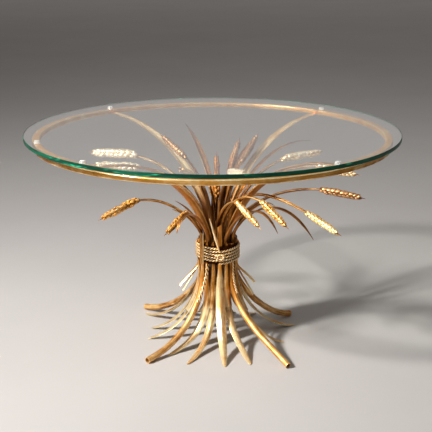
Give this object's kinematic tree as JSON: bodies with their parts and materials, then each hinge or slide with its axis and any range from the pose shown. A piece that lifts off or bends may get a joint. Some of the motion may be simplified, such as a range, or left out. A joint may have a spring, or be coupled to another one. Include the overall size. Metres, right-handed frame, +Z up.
{
  "type": "wheat sheaf table",
  "caption": "Low round table: a loose glass top on a ring, carried by a gilt metal wheat sheaf of ears, leaves and stalks tied at the waist with twine.",
  "frame": {"origin": "on the floor below the middle of the glass top", "axes": "+Z up; +X to the right and -Y towards the camera, as the table stands in the picture"},
  "size_m": [0.7499, 0.75, 0.446],
  "materials": {
    "table_glass": "clear float glass, dark green edge, ground bevels",
    "clear_pads": "clear soft pads",
    "gilt_ring": "satin gilt bar with brown patina",
    "gilt_supports": "satin gilt strip with brown patina in the channel",
    "gilt_tube_legs": "gilt tube with brown patina, dark inside",
    "gilt_stalks": "gilt rolled strip, bright on the ridges",
    "gilt_ears": "gilt grains with brown patina between them",
    "gilt_leaves": "gilt creased blade with brown patina",
    "gilt_twine": "twisted gilt wire"
  },
  "bodies": {
    "base": {"glass_pads": "clear_pads", "top_ring": "gilt_ring", "support_back_right": "gilt_supports", "support_back_left": "gilt_supports", "support_front_left": "gilt_supports", "support_front_right": "gilt_supports", "leg_front_left": "gilt_tube_legs", "leg_front_right": "gilt_tube_legs", "leg_back_right": "gilt_tube_legs", "leg_back_left": "gilt_tube_legs", "stalk_front_1": "gilt_stalks", "stalk_front_2": "gilt_stalks", "stalk_front_3": "gilt_stalks", "stalk_front_4": "gilt_stalks", "stalk_right_1": "gilt_stalks", "stalk_right_2": "gilt_stalks", "stalk_back_1": "gilt_stalks", "stalk_back_2": "gilt_stalks", "stalk_back_3": "gilt_stalks", "stalk_back_4": "gilt_stalks", "stalk_left_1": "gilt_stalks", "stalk_left_2": "gilt_stalks", "stalk_left_3": "gilt_stalks", "short_butts": "gilt_stalks", "stalk_sheaths": "gilt_stalks", "binding_twine": "gilt_twine", "twine_knot": "gilt_twine", "twine_tails": "gilt_twine", "tie_straws": "gilt_twine", "ear_left_low": "gilt_ears", "ear_front_left_low": "gilt_ears", "ear_front_low": "gilt_ears", "ear_front_right_low": "gilt_ears", "ear_right_low": "gilt_ears", "ear_right_mid": "gilt_ears", "ear_left_high": "gilt_ears", "ear_left_mid": "gilt_ears", "ear_front_left_high": "gilt_ears", "ear_front_right_high": "gilt_ears", "ear_back_left_high": "gilt_ears", "ear_back_high": "gilt_ears", "ear_back_right_high": "gilt_ears", "ear_back_right_upright": "gilt_ears", "ear_right_high": "gilt_ears", "ear_right_upper": "gilt_ears", "ear_back_low": "gilt_ears", "leaf_front_left": "gilt_leaves", "leaf_front_right": "gilt_leaves", "leaf_right_front": "gilt_leaves", "leaf_right": "gilt_leaves", "leaf_left": "gilt_leaves", "leaf_left_back": "gilt_leaves", "leaf_back_left_tall": "gilt_leaves", "leaf_back_tall": "gilt_leaves", "leaf_right_curved": "gilt_leaves"},
    "glass": {"glass_top": "table_glass"}
  },
  "joints": [
    {"name": "glass_lift", "type": "slide", "parent": "base", "child": "glass", "axis": [0, 0, 1], "range_m": [0, 0.15]}
  ]
}
